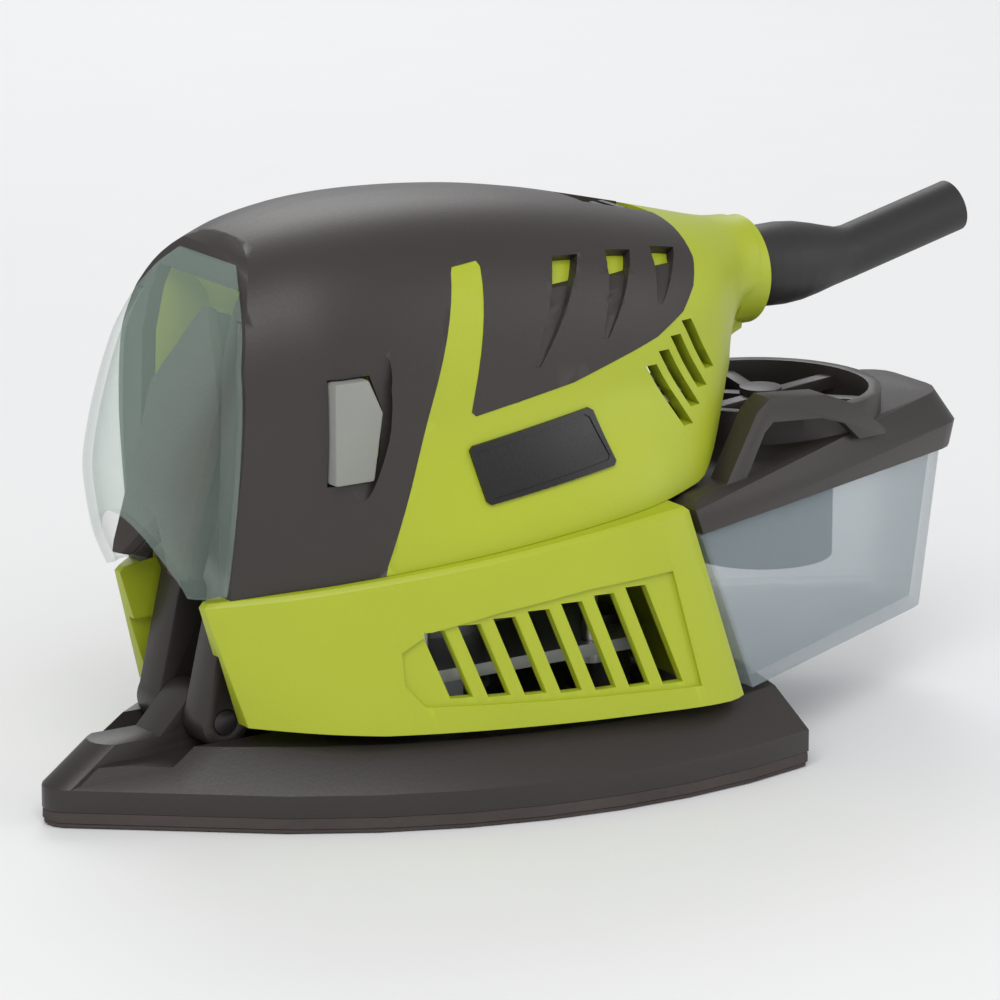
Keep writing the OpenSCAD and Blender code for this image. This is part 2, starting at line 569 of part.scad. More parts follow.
module filter_element() color("#3a3735") translate([filter_x, 0, 30]) difference() {
    cylinder(r = 15, h = 28);
    translate([0, 0, 2]) cylinder(r = 12, h = 30);
}
module dust_duct() color("#57534f") translate([33, 0, duct_z]) rotate([0, 90, 0]) ring(8.8, 7, 3.5);

housing_left();
housing_right();
grip_left();
grip_right();
skirt();
badge_left();
badge_right();
field_core();
field_coils();
bearing_bracket();
upper_bearing();
lower_bearing();
bearing_plate();
fan_shroud();
support_legs();
brush_holders();
carbon_brushes();
brush_springs();
switch_body();
capacitor();
cord_guard();
cord_clamp();
housing_screws();
plate_screws();
dust_duct();
placed_shaft();  // shaft
armature_core();
armature_windings();
commutator();
fan();
counterweight();
eccentric_screw();
pad_plate();
pad_foam();
hook_face();
pad_bearing();
hinge_pin();
finger_arm();
finger_plate();
finger_foam();
front_cover();
button_left();
button_right();
button_spring_left();
button_spring_right();
power_slider();
dust_bin();
dust_lid();
lid_seal();
filter_element();
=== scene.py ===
# %% [markdown]
# # Detail mouse sander
# A hand-held orbital sander: an iron-shaped pad swings in a 2 mm circle under a two-colour
# clamshell body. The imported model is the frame. Its inner parts keep their own meshes and get
# materials, and the shells that a hand touches are modelled again here with finer curves.

# %% Load the frame
import bpy, bmesh, json, math
from mathutils import Matrix, Vector


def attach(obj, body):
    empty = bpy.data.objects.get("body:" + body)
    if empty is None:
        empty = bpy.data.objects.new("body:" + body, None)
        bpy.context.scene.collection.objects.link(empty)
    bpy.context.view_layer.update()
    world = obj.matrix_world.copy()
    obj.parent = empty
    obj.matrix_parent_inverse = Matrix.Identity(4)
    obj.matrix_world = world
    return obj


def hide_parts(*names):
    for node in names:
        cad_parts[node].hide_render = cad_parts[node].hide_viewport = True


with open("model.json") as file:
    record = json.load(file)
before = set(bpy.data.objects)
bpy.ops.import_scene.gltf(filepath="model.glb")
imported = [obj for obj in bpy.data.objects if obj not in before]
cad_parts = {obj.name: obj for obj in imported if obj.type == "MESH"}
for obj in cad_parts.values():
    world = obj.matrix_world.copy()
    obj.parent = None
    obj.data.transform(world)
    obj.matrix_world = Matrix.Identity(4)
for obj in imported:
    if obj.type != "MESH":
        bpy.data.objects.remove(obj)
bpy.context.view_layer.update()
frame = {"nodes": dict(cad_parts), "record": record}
MM = 0.001

# %% [markdown]
# The studio is plain: a pale floor, one large soft key above the left shoulder, a wide fill and
# a rim from behind. A long lens from over a metre away keeps the edges of the body parallel,
# which is how such tools are usually shown.

# %% Studio and camera
scene = bpy.context.scene
AZIMUTH, ELEVATION, DISTANCE = math.radians(-33), math.radians(14.5), 1.2
TARGET = Vector((0.0192, 0.0006, 0.0494))
LENS = 217.5
away = Vector((math.sin(AZIMUTH) * math.cos(ELEVATION), -math.cos(AZIMUTH) * math.cos(ELEVATION),
               math.sin(ELEVATION)))

def aim(obj, place, target):
    """Puts a lamp or camera at a place and turns it to look at the target."""
    obj.location = place
    obj.rotation_euler = (target - place).to_track_quat("-Z", "Y").to_euler()

camera = bpy.data.objects.new("camera", bpy.data.cameras.new("camera"))
camera.data.lens, camera.data.sensor_width = LENS, 36.0
camera.data.clip_start, camera.data.clip_end = 0.05, 20.0
scene.collection.objects.link(camera)
aim(camera, TARGET + away * DISTANCE, TARGET)
scene.camera = camera

def soft_lamp(name, place, size, power):
    """A square soft box that looks at the middle of the tool."""
    lamp = bpy.data.objects.new(name, bpy.data.lights.new(name, "AREA"))
    lamp.data.size, lamp.data.energy = size, power
    scene.collection.objects.link(lamp)
    aim(lamp, Vector(place), TARGET)

soft_lamp("key", (-0.55, -0.75, 1.0), 0.9, 9.5)
soft_lamp("fill", (1.0, -0.9, 0.5), 0.8, 3.0)
soft_lamp("rim", (0.5, 1.0, 0.9), 0.7, 5.0)
world = bpy.data.worlds.new("studio")
world.use_nodes = True
world.node_tree.nodes["Background"].inputs[0].default_value = (0.97, 0.98, 1.0, 1.0)
world.node_tree.nodes["Background"].inputs[1].default_value = 0.50
scene.world = world
scene.view_settings.view_transform = "Standard"
print("camera at", [round(v, 3) for v in camera.location])

# %% [markdown]
# Every finish on this tool is moulded plastic, rubber, foam or bare metal. One function builds them all:
# fine noise gives the spark-eroded grain, a slow noise shifts the colour and the gloss a little, as
# uneven mould texture does.

# %% Materials
def mixed(tree, factor, low, high):
    """Colour that runs from low to high with a factor."""
    mix = tree.nodes.new("ShaderNodeMix")
    mix.data_type = "RGBA"
    mix.inputs[6].default_value, mix.inputs[7].default_value = (*low, 1.0), (*high, 1.0)
    tree.links.new(factor, mix.inputs[0])
    return mix.outputs[2]

def noise(tree, place, size_mm, detail=2.0):
    """Noise whose blobs are about size_mm across."""
    node = tree.nodes.new("ShaderNodeTexNoise")
    node.inputs["Scale"].default_value = 1.0 / (size_mm * MM)
    node.inputs["Detail"].default_value = detail
    tree.links.new(place, node.inputs["Vector"])
    return node.outputs["Fac"]

def finish(name, colour, rough, grain_mm=0.5, grain=0.12, spread=0.07, metallic=0.0, **sockets):
    """A moulded, rubbery or metal finish with grain, colour drift and uneven gloss."""
    mat = bpy.data.materials.new(name)
    mat.use_nodes = True
    tree = mat.node_tree
    shader = tree.nodes["Principled BSDF"]
    place = tree.nodes.new("ShaderNodeTexCoord").outputs["Object"]
    slow, fine = noise(tree, place, 28.0), noise(tree, place, grain_mm, 3.0)
    low, high = [c * (1 - spread) for c in colour], [min(1.0, c * (1 + spread)) for c in colour]
    tree.links.new(mixed(tree, slow, low, high), shader.inputs["Base Color"])
    gloss = tree.nodes.new("ShaderNodeMapRange")
    gloss.inputs["To Min"].default_value, gloss.inputs["To Max"].default_value = rough - 0.06, rough + 0.06
    tree.links.new(fine, gloss.inputs["Value"])
    tree.links.new(gloss.outputs["Result"], shader.inputs["Roughness"])
    bump = tree.nodes.new("ShaderNodeBump")
    bump.inputs["Strength"].default_value = grain
    bump.inputs["Distance"].default_value = 0.1 * MM
    tree.links.new(fine, bump.inputs["Height"])
    tree.links.new(bump.outputs["Normal"], shader.inputs["Normal"])
    shader.inputs["Metallic"].default_value = metallic
    for socket, value in sockets.items():
        shader.inputs[socket.replace("_", " ")].default_value = value
    return mat

def clear(name, colour, rim, middle_alpha, painted_rim_shade_alpha, rough):
    """Clear plastic with painted shade: colour darker and opacity higher where the wall turns away from view, to look
    denser at the edges as thick clear walls do.
    """
    mat = finish(name, colour, rough, 2.0, 0.03, 0.03, IOR=1.45)
    tree = mat.node_tree
    shader = tree.nodes["Principled BSDF"]
    facing = tree.nodes.new("ShaderNodeLayerWeight")
    facing.inputs["Blend"].default_value = 0.35
    # Painted shade: the colour runs from the clear colour to the darker rim colour as the wall turns away from view.
    tree.links.new(mixed(tree, facing.outputs["Facing"], colour, rim), shader.inputs["Base Color"])
    # Painted shade: the opacity rises from the middle alpha to the rim alpha towards the edges that turn away from
    # view.
    painted_rim_shade_opacity = tree.nodes.new("ShaderNodeMapRange")
    painted_rim_shade_opacity.inputs["To Min"].default_value, painted_rim_shade_opacity.inputs["To Max"].default_value = middle_alpha, painted_rim_shade_alpha
    tree.links.new(facing.outputs["Facing"], painted_rim_shade_opacity.inputs["Value"])
    tree.links.new(painted_rim_shade_opacity.outputs["Result"], shader.inputs["Alpha"])
    return mat

GREEN = (0.40, 0.465, 0.020)
MATERIALS = {
    "green_plastic": finish("green_plastic", GREEN, 0.42, 0.55, 0.35, 0.05),
    "charcoal_rubber": finish("charcoal_rubber", (0.031, 0.0255, 0.0225), 0.46, 0.5, 0.3, 0.10),
    "charcoal_plastic": finish("charcoal_plastic", (0.028, 0.023, 0.0205), 0.42, 0.6, 0.3, 0.10),
    "badge": finish("badge", (0.012, 0.011, 0.011), 0.28, 0.8, 0.1, 0.10),
    "steel": finish("steel", (0.62, 0.62, 0.64), 0.30, 0.4, 0.2, 0.06, metallic=1.0),
    "copper": finish("copper", (0.72, 0.33, 0.14), 0.35, 0.7, 0.8, 0.12, metallic=1.0),
    "cast_alloy": finish("cast_alloy", (0.50, 0.51, 0.52), 0.45, 0.9, 0.6, 0.08, metallic=1.0),
    "black_plastic": finish("black_plastic", (0.022, 0.021, 0.021), 0.45, 0.5, 0.3, 0.10),
    "rubber": finish("rubber", (0.020, 0.018, 0.018), 0.52, 0.5, 0.3, 0.12),
    "brass": finish("brass", (0.75, 0.52, 0.20), 0.30, 0.5, 0.2, 0.06, metallic=1.0),
    "carbon": finish("carbon", (0.02, 0.02, 0.02), 0.55, 0.3, 0.5, 0.15),
    "capacitor_yellow": finish("capacitor_yellow", (0.7, 0.43, 0.05), 0.35, 0.8, 0.1, 0.05),
    "foam": finish("foam", (0.060, 0.048, 0.044), 0.90, 0.9, 1.0, 0.35),
    "pin_black": finish("pin_black", (0.050, 0.045, 0.045), 0.35, 0.5, 0.3, 0.10, metallic=0.6),
    "grey_plastic": finish("grey_plastic", (0.27, 0.275, 0.25), 0.45, 0.5, 0.3, 0.05),
    "filter_fabric": finish("filter_fabric", (0.030, 0.028, 0.026), 0.85, 0.7, 1.0, 0.30),
    # In each clear finish, the second colour and the second alpha are painted shade on the edges that turn away from
    # view.
    "clear_cover": clear("clear_cover", (0.62, 0.80, 0.70), (0.20, 0.31, 0.25), 0.05, 0.42, 0.06),
    "clear_bin": clear("clear_bin", (0.52, 0.61, 0.66), (0.14, 0.19, 0.21), 0.20, 0.66, 0.12),
}
SLOTS = {row["node"]: row["material_slot"] for row in frame["record"]["subparts"]}
for node_name, obj in frame["nodes"].items():
    obj.data.materials.clear()
    obj.data.materials.append(MATERIALS[SLOTS[node_name]])
print("finishes:", len(MATERIALS))

# %% [markdown]
# Lengths from here on are in millimetres. Shells of free form are lofted: a ring of vertices is
# extruded from station to station and moved to each new outline. The outlines come from a few
# numbers by station, read along a smooth curve.

# %% Modelling helpers
def along(table, x):
    """Smooth (Catmull-Rom) reading of a list of [position, value] pairs."""
    xs, ys = [row[0] for row in table], [row[1] for row in table]
    if x <= xs[0]:
        return ys[0]
    if x >= xs[-1]:
        return ys[-1]
    i = max(k for k in range(len(xs) - 1) if xs[k] <= x)
    slope = lambda k: ((ys[min(k + 1, len(ys) - 1)] - ys[max(k - 1, 0)])
                       / (xs[min(k + 1, len(xs) - 1)] - xs[max(k - 1, 0)]))
    h = xs[i + 1] - xs[i]
    t = (x - xs[i]) / h
    return ((2 * t**3 - 3 * t**2 + 1) * ys[i] + (t**3 - 2 * t**2 + t) * h * slope(i)
            + (-2 * t**3 + 3 * t**2) * ys[i + 1] + (t**3 - t**2) * h * slope(i + 1))

def loft(rings):
    """Closed bmesh through rings with the same number of points, in millimetres."""
    bm = bmesh.new()
    made = bmesh.ops.create_circle(bm, cap_ends=False, segments=len(rings[0]), radius=1.0)
    row = list(made["verts"])
    for vert, point in zip(row, rings[0]):
        vert.co = point
    first = list(row)
    for ring in rings[1:]:
        n = len(row)
        edges = [bm.edges.get((row[k], row[(k + 1) % n])) for k in range(n)]
        new = bmesh.ops.extrude_edge_only(bm, edges=edges)["geom"]
        fresh = {v for v in new if isinstance(v, bmesh.types.BMVert)}
        row = [next(e.other_vert(v) for e in v.link_edges if e.other_vert(v) in fresh) for v in row]
        for vert, point in zip(row, ring):
            vert.co = point
    bm.faces.new(first)
    bm.faces.new(row)
    bmesh.ops.recalc_face_normals(bm, faces=bm.faces[:])
    return bm

def prism(points, axis, low, high):
    """Outline pushed along an axis: for Y the points are (x, z), for Z they are (x, y), for X (y, z)."""
    place = {"Y": lambda p, d: (p[0], d, p[1]), "Z": lambda p, d: (p[0], p[1], d),
             "X": lambda p, d: (d, p[0], p[1])}[axis]
    return loft([[place(p, low) for p in points], [place(p, high) for p in points]])

def rod(radius, start, end, segments=48, radius_end=None):
    """Round bar between two points."""
    start, end = Vector(start), Vector(end)
    bm = bmesh.new()
    bmesh.ops.create_cone(bm, cap_ends=True, segments=segments, radius1=radius,
                          radius2=radius if radius_end is None else radius_end, depth=(end - start).length)
    turn = (end - start).to_track_quat("Z", "Y").to_matrix().to_4x4()
    bmesh.ops.transform(bm, matrix=Matrix.Translation((start + end) / 2) @ turn, verts=bm.verts[:])
    return bm

def block(low, high):
    """Box between two corners."""
    bm = bmesh.new()
    bmesh.ops.create_cube(bm, size=1.0)
    low, high = Vector(low), Vector(high)
    bmesh.ops.scale(bm, vec=high - low, verts=bm.verts[:])
    bmesh.ops.translate(bm, vec=(low + high) / 2, verts=bm.verts[:])
    return bm

def as_object(bm, name="tool"):
    mesh = bpy.data.meshes.new(name)
    bm.to_mesh(mesh)
    bm.free()
    obj = bpy.data.objects.new(name, mesh)
    scene.collection.objects.link(obj)
    return obj

def carve(bm, *steps):
    """Applies boolean steps, each (operation, bmesh), and returns the carved bmesh."""
    base = as_object(bm)
    tools = []
    for operation, tool in steps:
        tools.append(as_object(tool))
        cut = base.modifiers.new("cut", "BOOLEAN")
        cut.operation, cut.object, cut.solver = operation, tools[-1], "EXACT"
    done = base.evaluated_get(bpy.context.evaluated_depsgraph_get()).to_mesh()
    out = bmesh.new()
    out.from_mesh(done)
    for obj in [base] + tools:
        bpy.data.objects.remove(obj)
    bmesh.ops.remove_doubles(out, verts=out.verts[:], dist=0.02)
    return out

def soften(bm, width, angle=32.0, segments=2, keep=lambda edge: True):
    """Rounds the edges that are sharper than an angle."""
    sharp = [e for e in bm.edges if len(e.link_faces) == 2
             and e.calc_face_angle(0.0) > math.radians(angle) and keep(e)]
    if sharp and width:
        bmesh.ops.bevel(bm, geom=sharp, offset=width, offset_type="OFFSET", segments=segments, profile=0.5,
                        affect="EDGES", clamp_overlap=True, material=-1)
    return bm

def piece(name, bm, body, slot, nodes=(), smooth=34.0):
    """Turns a bmesh in millimetres into a finished piece that rides on a body."""
    bmesh.ops.scale(bm, vec=(MM, MM, MM), verts=bm.verts[:])
    for edge in bm.edges:
        edge.smooth = len(edge.link_faces) == 2 and edge.calc_face_angle(0.0) < math.radians(smooth)
    for face in bm.faces:
        face.smooth = True
    obj = as_object(bm, name)
    obj.data.materials.append(MATERIALS[slot])
    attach(obj, body)
    if nodes:
        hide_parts(*nodes)
    print(f"{name}: {len(obj.data.polygons)} faces")
    return obj

def mirrored(bm):
    """The same shape on the other side of the tool."""
    other = bm.copy()
    bmesh.ops.scale(other, vec=(1, -1, 1), verts=other.verts[:])
    bmesh.ops.reverse_faces(other, faces=other.faces[:])
    return other

def from_node(node, merge=0.01, flat=1.5):
    """A welded copy of a frame node's mesh, in millimetres, with its flat faces joined up."""
    bm = bmesh.new()
    bm.from_mesh(frame["nodes"][node].data)
    bmesh.ops.scale(bm, vec=(1 / MM, 1 / MM, 1 / MM), verts=bm.verts[:])
    bmesh.ops.remove_doubles(bm, verts=bm.verts[:], dist=merge)
    bmesh.ops.dissolve_limit(bm, angle_limit=math.radians(flat), verts=bm.verts[:], edges=bm.edges[:])
    return bm

# %% [markdown]
# The body is one smooth form that swells over the motor and draws in to the cord. Its section is
# wide at the skirt, waisted at the grip and arched on top.

# %% Body form
BODY = {
    "foot": [[-57, 18.5], [-47, 23.5], [-37, 28.5], [-24, 33.5], [-8, 38], [11, 40.5], [27, 40.5],
             [36, 38], [46, 33], [55, 25], [63, 16], [69, 7], [74, 4.5]],
    "grip": [[-57, 23], [-47, 26.5], [-37, 30], [-24, 31.8], [-8, 32.3], [11, 32.3], [27, 31.4],
             [36, 30.3], [46, 27.5], [55, 23.5], [63, 17.5], [69, 12.5], [74, 11.2]],
    "top": [[-57, 105], [-47, 109.8], [-37, 113], [-24, 115], [-8, 115.3], [11, 113.8], [27, 111.2],
            [36, 109.2], [46, 106.8], [55, 104.6], [63, 102.6], [69, 101.3], [74, 101]],
    "low": [[-57, 44.1], [30, 56], [44, 57.8], [48, 61], [58, 73.6], [69, 77.6], [74, 78.6]],
    "waist": [[-57, 78], [36, 80], [55, 87], [69, 89.8], [74, 89.8]],
}
def straight(table, x):
    """Straight-line reading of a table."""
    for (x0, y0), (x1, y1) in zip(table, table[1:]):
        if x <= x1:
            return y0 + (y1 - y0) * max(0.0, (x - x0) / (x1 - x0))
    return table[-1][1]

def section(x, inset):
    """Half outline of the body at x, from the foot up to the top, as (y, z)."""
    low, waist = straight(BODY["low"], x), straight(BODY["waist"], x)
    top = along(BODY["top"], x) - inset
    foot, grip = along(BODY["foot"], x) - inset, along(BODY["grip"], x) - inset
    power = 2 / 2.5
    flank = []
    for k in range(14):
        t = k / 14
        flank.append((max(foot + (grip - foot) * t * t * (3 - 2 * t), 0.4), low + (waist - low) * t))
    arch = [(max(grip, 0.4) * max(math.cos(a), 0) ** power, waist + (top - waist) * math.sin(a) ** power)
            for a in [math.radians(5.625 * k) for k in range(16)]]
    return flank + arch + [(0.0, top)]

def body_form(inset, start=-57.0, end=74.0, drop=0.0, steps=58):
    """The body drawn in by an inset, between two stations."""
    rings = []
    for i in range(steps + 1):
        x = start + (end - start) * i / steps
        half = [(y, z - (drop if k == 0 else 0)) for k, (y, z) in enumerate(section(x, inset))]
        rings.append([(x, y, z) for y, z in half] + [(x, -y, z) for y, z in reversed(half[:-1])])
    return loft(rings)

def skin_y(x, z):
    """Half width of the body's skin at a height."""
    half = section(x, 0.0)
    for (y0, z0), (y1, z1) in zip(half, half[1:]):
        if z0 <= z <= z1:
            return y0 + (y1 - y0) * (z - z0) / max(z1 - z0, 1e-6)
    return half[-1][0]
print("grip is", round(2 * skin_y(10, 82)), "mm wide")

# %% [markdown]
# The soft overmould covers the nose and the grip and leaves a green V between them. In side view its
# edge is one outline, so the form is cut with that outline pushed across the body.

# %% Cutting outlines
GRIP_T, SHELL_T, CHANNEL_HALF, CAVITY_X, FAR = 2.0, 4.6, 15.2, -32.3, 70.0
HOOD_FRONT = [(-55, 30), (-54.6, 60), (-53.4, 90), (-51.6, 98), (-49, 104), (-46, 108.5), (-43, 112), (-40, 130),
              (120, 130), (120, 30)]
OVERMOULD = [(-70, 30), (-31, 30), (-27.5, 50), (-9.5, 104), (-8.9, 104.9), (-3.1, 105.4), (-2.6, 104.4),
             (-8.5, 77.6), (-7.6, 76.8), (15, 80.5), (36, 86.5), (43.5, 90.2), (47.5, 94.4), (50, 99), (50.5, 104),
             (50.5, 130), (-70, 130)]
HOOD_BACK = [(x + 3 if x < 0 else x, z) for x, z in HOOD_FRONT]
CHANNEL = [(-80, 10), (-35, 10), (-35, 84), (-39, 96), (-44, 103), (-80, 103)]
BUTTON = [(-38.5, 66.8), (-30.2, 66.8), (-28.2, 72), (-27.6, 80), (-30.4, 86.8), (-38.5, 86.8)]
def grown(points, by):
    """An outline moved outwards from its middle."""
    mx, mz = sum(p[0] for p in points) / len(points), sum(p[1] for p in points) / len(points)
    return [(x + math.copysign(by, x - mx), z + math.copysign(by, z - mz)) for x, z in points]

def slanted_slots(count, x, step, z, rise, width, height, lean, y0, y1):
    """Upright slots that lean back, side by side, as one bmesh."""
    out = bmesh.new()
    for k in range(count):
        x0, z0 = x + step * k, z + rise * k
        h = height[0] + (height[1] - height[0]) * k / max(count - 1, 1)
        shift = h * math.tan(math.radians(lean))
        corners = [(x0, z0), (x0 + width, z0), (x0 + width - shift, z0 + h), (x0 - shift, z0 + h)]
        one = prism(corners, "Y", y0, y1)
        mesh = bpy.data.meshes.new("slot")
        one.to_mesh(mesh)
        one.free()
        out.from_mesh(mesh)
        bpy.data.meshes.remove(mesh)
    return out

GROOVES = [((17.5, 104), (6.5, 84.5)), ((31, 103.2), (23, 88)), ((43, 102), (37.5, 92.5))]
def groove(top, bottom):
    """A cutter that is wide and deep at its top and runs out towards its bottom, on the near side."""
    rings = []
    for i in range(13):
        t = i / 12
        x, z = top[0] + (bottom[0] - top[0]) * t, top[1] + (bottom[1] - top[1]) * t
        y = skin_y(x, z)
        slope = math.atan2(skin_y(x, z - 0.5) - skin_y(x, z + 0.5), 1.0)
        out = Vector((0, math.cos(slope), math.sin(slope)))
        wide = 2.4 * (1 - t) ** 0.7 + 0.7
        deep = 2.6 if t < 0.22 else 1.6 * (1 - t) + 0.2
        here = Vector((x, y, z))
        corners = [here + out * 3 + Vector((-wide - 1, 0, 0)), here + out * 3 + Vector((wide + 1, 0, 0)),
                   here - out * deep + Vector((wide * 0.75, 0, 0)),
                   here - out * deep + Vector((-wide * 0.75, 0, 0))]
        rings.append([(c.x, -c.y, c.z) for c in corners])
    return loft(rings)

# %% [markdown]
# Only the left half of each shell is carved, and a mirrored copy makes the right half, as the
# two moulds of a clamshell would.

# %% Housing and grip halves
def near_half():
    """Everything on the near side of the joint between the halves."""
    return block((-90, -FAR, 0), (130, 0, 150))

def across(outline):
    """A side-view outline pushed right across the body."""
    return prism(outline, "Y", -FAR, FAR)

def finger_channel():
    return prism(CHANNEL, "Y", -CHANNEL_HALF, CHANNEL_HALF)

def button_pocket():
    return prism(grown(BUTTON, 0.4), "Y", -FAR, -18)

def off_seam(edge):
    """True for an edge that isn't on the joint between the halves."""
    return any(abs(v.co.y) > 0.05 for v in edge.verts)

green = carve(body_form(0.12), ("DIFFERENCE", across(OVERMOULD)), ("UNION", body_form(GRIP_T)),
              ("UNION", rod(11, (70, 0, 89.8), (76.5, 0, 89.8), 64)),
              ("DIFFERENCE", body_form(SHELL_T, CAVITY_X, 66, drop=3.0)),
              ("INTERSECT", across(HOOD_BACK)),
              ("DIFFERENCE", finger_channel()),
              ("DIFFERENCE", button_pocket()),
              ("DIFFERENCE", slanted_slots(4, 40.2, 3.0, 68.7, 3.05, 2.8, (12.4, 10.6), 31, -FAR, -8)),
              ("DIFFERENCE", rod(7, (55, 0, 89.8), (90, 0, 89.8))),
              ("INTERSECT", near_half()))
soften(green, 0.45, keep=off_seam)
other = mirrored(green)
piece("housing_shell_left", green, "housing", "green_plastic", ["housing_left"])
piece("housing_shell_right", other, "housing", "green_plastic", ["housing_right"])

dish = bmesh.new()
bmesh.ops.create_uvsphere(dish, u_segments=40, v_segments=24, radius=1.0)
bmesh.ops.scale(dish, vec=(10.5, 1.15, 15.5), verts=dish.verts[:])
bmesh.ops.translate(dish, vec=(-33.2, -skin_y(-33, 78), 78.5), verts=dish.verts[:])
hard_core = carve(body_form(GRIP_T), ("INTERSECT", across(HOOD_BACK)))
grip = carve(body_form(0.0), ("INTERSECT", across(OVERMOULD)), ("DIFFERENCE", hard_core),
             ("INTERSECT", across(HOOD_FRONT)),
             ("DIFFERENCE", finger_channel()),
             ("DIFFERENCE", dish),
             ("DIFFERENCE", button_pocket()),
             *[("DIFFERENCE", groove(*g)) for g in GROOVES],
             ("DIFFERENCE", block((34, -6.2, 102), (54, 6.2, 114))),
             ("INTERSECT", near_half()))
soften(grip, 0.5, keep=off_seam)
other = mirrored(grip)
piece("overmould_left", grip, "housing", "charcoal_rubber", ["grip_left"])
piece("overmould_right", other, "housing", "charcoal_rubber", ["grip_right"])

# %% [markdown]
# The name badge is a thin blank plate that follows the body, with a raised rim.

# %% Badges
PLATE = [(-8, 60.9), (-10, 70.6), (-9.2, 71.4), (17.6, 75.4), (18.6, 74.8), (21, 65.4), (20.3, 64.6),
         (-7.2, 60.3)]
def shrunk(points, by):
    """An outline moved in towards its middle."""
    mx, mz = sum(p[0] for p in points) / len(points), sum(p[1] for p in points) / len(points)
    return [(x - math.copysign(by, x - mx), z - math.copysign(by, z - mz)) for x, z in points]
middle = carve(prism(shrunk(PLATE, 1.1), "Y", -FAR, -10), ("DIFFERENCE", body_form(-0.35)))
badge = carve(body_form(-0.6), ("INTERSECT", prism(PLATE, "Y", -FAR, -10)), ("DIFFERENCE", body_form(-0.02)),
              ("DIFFERENCE", middle))
other = mirrored(badge)
piece("blank_badge_left", badge, "housing", "badge", ["badge_left"])
piece("blank_badge_right", other, "housing", "badge", ["badge_right"])

# %% [markdown]
# The skirt is a separate moulding that widens to the pad's outline. Seven slots on each side let the fan
# blow out, in a shallow recess.

# %% Skirt
SKIRT_LOW = [[-57, 15], [-52, 21], [-39, 31], [-21, 38.6], [0, 44], [20, 47], [41, 48], [50, 43]]
SKIRT_HIGH = [[-59.3, 17.3], [-45, 27], [-27, 35], [-10, 40.5], [10, 44], [30, 45.5], [33, 45.3]]
def skirt_ring(front, back, table, z_table, inset, lift):
    """One closed ring of the skirt, from its width and height tables."""
    side = []
    for i in range(41):
        x = front + (back - front) * i / 40
        w = max(along(table, x) - inset, 1.0)
        side.append((x, -w, straight(z_table, x) + lift))
    return side + [(x, -y, z) for x, y, z in reversed(side)]

def skirt_form(inset, low_lift=0.0, high_lift=0.0, crown=0.0):
    """The skirt drawn in by an inset; a crown rounds off its top edge."""
    low_z, high_z = [[-57, 19.5], [-30, 17.5], [50, 16]], [[-59.3, 43.7], [33, 56.3]]
    rings = [skirt_ring(-52 + inset, 46.5 - inset, SKIRT_LOW, low_z, inset, low_lift)]
    if crown:
        rings.append(skirt_ring(-59.3 + inset, 33 - inset, SKIRT_HIGH, high_z, inset, high_lift - crown))
        inset += crown
    rings.append(skirt_ring(-59.3 + inset, 33 - inset, SKIRT_HIGH, high_z, inset, high_lift))
    return loft(rings)

PANEL = [(-22.5, 22.6), (34.6, 20.4), (28.8, 44), (10, 42.6), (-8, 40), (-21, 37.2), (-26.6, 33.5), (-26.2, 27)]
recess = carve(prism(PANEL, "Y", -FAR, -20), ("DIFFERENCE", skirt_form(0.8)))
hollow = carve(skirt_form(2.6, -3.0, -2.6), ("INTERSECT", block((CAVITY_X, -60, 0), (90, 60, 100))))
skirt = carve(skirt_form(0.0, crown=0.9), ("DIFFERENCE", hollow),
              ("DIFFERENCE", rod(33, (0, 0, 30), (0, 0, 90), 64)),
              ("DIFFERENCE", finger_channel()),
              ("DIFFERENCE", block((-80, -17.2, 0), (-36, 17.2, 33))),
              ("DIFFERENCE", recess),
              ("DIFFERENCE", slanted_slots(7, -17.5, 7.3, 23.8, -0.35, 4.4, (13.4, 20.2), 21, -FAR, -25)),
              ("DIFFERENCE", rod(9, (33, 0, 38), (73, 0, 38))),
              ("INTERSECT", near_half()))
soften(skirt, 0.35, keep=off_seam)
both = mirrored(skirt)
mesh = bpy.data.meshes.new("half")
skirt.to_mesh(mesh)
both.from_mesh(mesh)
bmesh.ops.remove_doubles(both, verts=both.verts[:], dist=0.03)
piece("skirt_shell", both, "housing", "green_plastic", ["skirt"])

# %% [markdown]
# The clear cover is full in front and draws in to a lip on top of the hood. It is one wall of even
# thickness with an arch cut out at the front, where the finger's arm stands.

# %% Clear cover
COVER = {"front": [[45, -64.5], [52, -67.5], [60, -69], [66, -69.2], [74, -67], [82, -63.6], [90, -59.4], [97, -55.2],
                   [103, -51], [107, -48.6]],
         "side": [[45, -55.4], [66, -54.7], [90, -53.8], [97, -51.9], [103, -50], [107, -47.5]],
         "half": [[45, 19.2], [52, 20.8], [60, 22], [66, 22.8], [74, 23.4], [82, 23.6], [90, 22.6], [97, 20],
                  [103, 15.5], [107, 10.5]]}
def cover_form(inset, low=45.0, high=107.0, behind=0.0):
    """The bubble drawn in by an inset; behind pushes its open back out for cutting."""
    rings = []
    for i in range(37):
        z = low + (high - low) * i / 36
        f, s = along(COVER["front"], z) + inset, straight(COVER["side"], z)
        w = max(along(COVER["half"], z) - inset, 1.0)
        ring = [(s + behind, -w, z)]
        for k in range(25):
            a = math.radians(-90 + 7.5 * k)
            forward, aside = abs(math.cos(a)) ** 0.72, math.copysign(abs(math.sin(a)) ** 0.8, a)
            ring.append((s - (s - f) * forward, w * aside, z))
        rings.append(ring + [(s + behind, w, z)])
    return loft(rings)
cover = carve(cover_form(0.0), ("DIFFERENCE", cover_form(1.8, 44.0, 105.4, behind=12.0)),
              ("DIFFERENCE", rod(15.6, (-80, 0, 44), (-60, 0, 44), 64)))
soften(cover, 0.4)
piece("bubble_cover", cover, "cover", "clear_cover", ["front_cover"])

# %% [markdown]
# The pad, the finger sander, the dust bin and the small parts have the right shape in the frame already.
# They are welded copies with rounded edges, because a moulding never has a knife edge.

